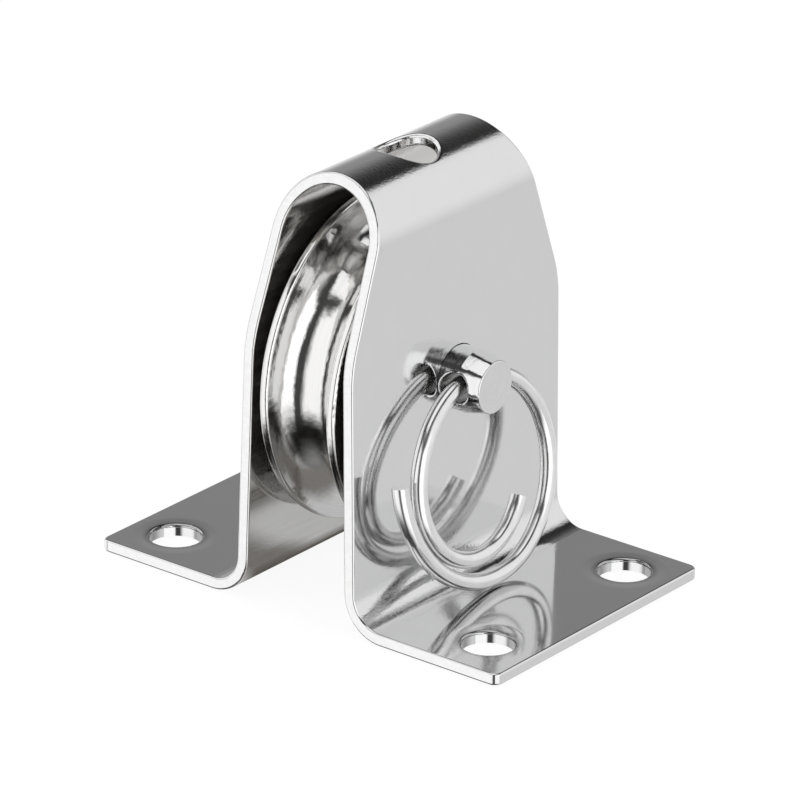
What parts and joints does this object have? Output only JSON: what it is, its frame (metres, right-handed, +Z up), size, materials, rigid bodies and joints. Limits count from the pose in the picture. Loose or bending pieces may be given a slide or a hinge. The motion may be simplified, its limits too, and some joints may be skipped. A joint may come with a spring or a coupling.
{
  "type": "foot block",
  "caption": "Polished stainless foot block: a bent strap with drilled feet carries one grooved sheave on a headed pin held by a split ring.",
  "frame": {"origin": "middle of the flat underside, below the middle of the sheave's strap", "axes": "+X along the pin towards its ring end, +Y across the strap, the way the rope runs, +Z up through the crown"},
  "size_m": [0.06, 0.0416, 0.054],
  "materials": {
    "strap_steel": "mirror-polished stainless sheet",
    "sheave_steel": "polished turned stainless",
    "bush_bronze": "plain bearing bronze",
    "pin_steel": "polished turned stainless",
    "ring_steel": "polished stainless wire"
  },
  "bodies": {
    "strap_body": {"strap": "strap_steel"},
    "sheave_body": {"sheave": "sheave_steel", "sheave_bush": "bush_bronze"},
    "pin_body": {"pin": "pin_steel"},
    "ring_body": {"split_ring": "ring_steel"}
  },
  "joints": [
    {"name": "sheave_spin", "type": "hinge", "parent": "strap_body", "child": "sheave_body", "pos_m": [0.00045, 0, 0.0268], "axis": [1, 0, 0], "continuous": true},
    {"name": "pin_turn", "type": "hinge", "parent": "strap_body", "child": "pin_body", "pos_m": [0, 0, 0.0268], "axis": [1, 0, 0], "continuous": true},
    {"name": "ring_swing", "type": "hinge", "parent": "pin_body", "child": "ring_body", "pos_m": [0.01048, 0, 0.0268], "axis": [0, -1, 0], "range_deg": [0, 165]}
  ]
}
